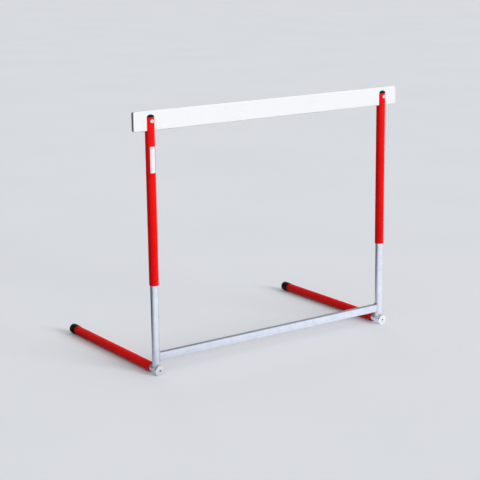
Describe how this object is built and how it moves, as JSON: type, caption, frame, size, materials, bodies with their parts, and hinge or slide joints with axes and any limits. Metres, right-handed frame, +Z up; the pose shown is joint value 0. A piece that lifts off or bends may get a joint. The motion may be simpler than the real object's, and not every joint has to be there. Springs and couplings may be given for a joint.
{
  "type": "training hurdle",
  "caption": "Adjustable training hurdle: a flat hollow lath on two telescopic tube posts, with long rear feet and a cross rail.",
  "frame": {"origin": "on the floor, under the middle of the whole hurdle", "axes": "+X along the lath to the hurdle's right end as seen from the front, the front with the end discs faces -Y and the feet run towards +Y, +Z up"},
  "size_m": [1.18, 0.6546, 0.95],
  "materials": {
    "white_plastic": "satin",
    "red_powder_coat": "gloss powder coat",
    "zinc_plated_steel": "satin zinc",
    "black_plastic": "moulded, satin",
    "bright_fasteners": "bright zinc",
    "spring_steel": "tempered"
  },
  "bodies": {
    "base": {"lower_upright_left": "zinc_plated_steel", "lower_upright_right": "zinc_plated_steel", "upright_plug_left": "black_plastic", "upright_plug_right": "black_plastic", "button_spring_left": "spring_steel", "button_spring_right": "spring_steel", "cross_rail": "zinc_plated_steel", "foot_stub_left": "zinc_plated_steel", "foot_stub_right": "zinc_plated_steel", "front_disc_left": "zinc_plated_steel", "front_disc_right": "zinc_plated_steel", "foot_screw_left": "bright_fasteners", "foot_screw_right": "bright_fasteners", "foot_plug_left": "zinc_plated_steel", "foot_plug_right": "zinc_plated_steel", "foot_tube_left": "red_powder_coat", "foot_tube_right": "red_powder_coat", "foot_cap_left": "black_plastic", "foot_cap_right": "black_plastic"},
    "top": {"sleeve_left": "red_powder_coat", "sleeve_right": "red_powder_coat", "lath": "white_plastic", "front_saddle_left": "black_plastic", "front_saddle_right": "black_plastic", "rear_saddle_left": "black_plastic", "rear_saddle_right": "black_plastic", "lath_bolt_left": "bright_fasteners", "lath_bolt_right": "bright_fasteners", "lath_washer_left": "bright_fasteners", "lath_washer_right": "bright_fasteners", "lath_nut_left": "bright_fasteners", "lath_nut_right": "bright_fasteners", "lath_spacer_left": "bright_fasteners", "lath_spacer_right": "bright_fasteners"},
    "lock_button_left": {"button_left": "bright_fasteners"},
    "lock_button_right": {"button_right": "bright_fasteners"}
  },
  "joints": [
    {"name": "height_slide", "type": "slide", "parent": "base", "child": "top", "axis": [0, 0, 1], "range_m": [-0.2, 0.1]},
    {"name": "button_press_left", "type": "slide", "parent": "base", "child": "lock_button_left", "axis": [0, -1, 0], "range_m": [0, 0.0065], "stiffness_N_per_m": 500, "springref_m": -0.004, "deforming": ["button_spring_left"]},
    {"name": "button_press_right", "type": "slide", "parent": "base", "child": "lock_button_right", "axis": [0, -1, 0], "range_m": [0, 0.0065], "stiffness_N_per_m": 500, "springref_m": -0.004, "deforming": ["button_spring_right"]}
  ]
}
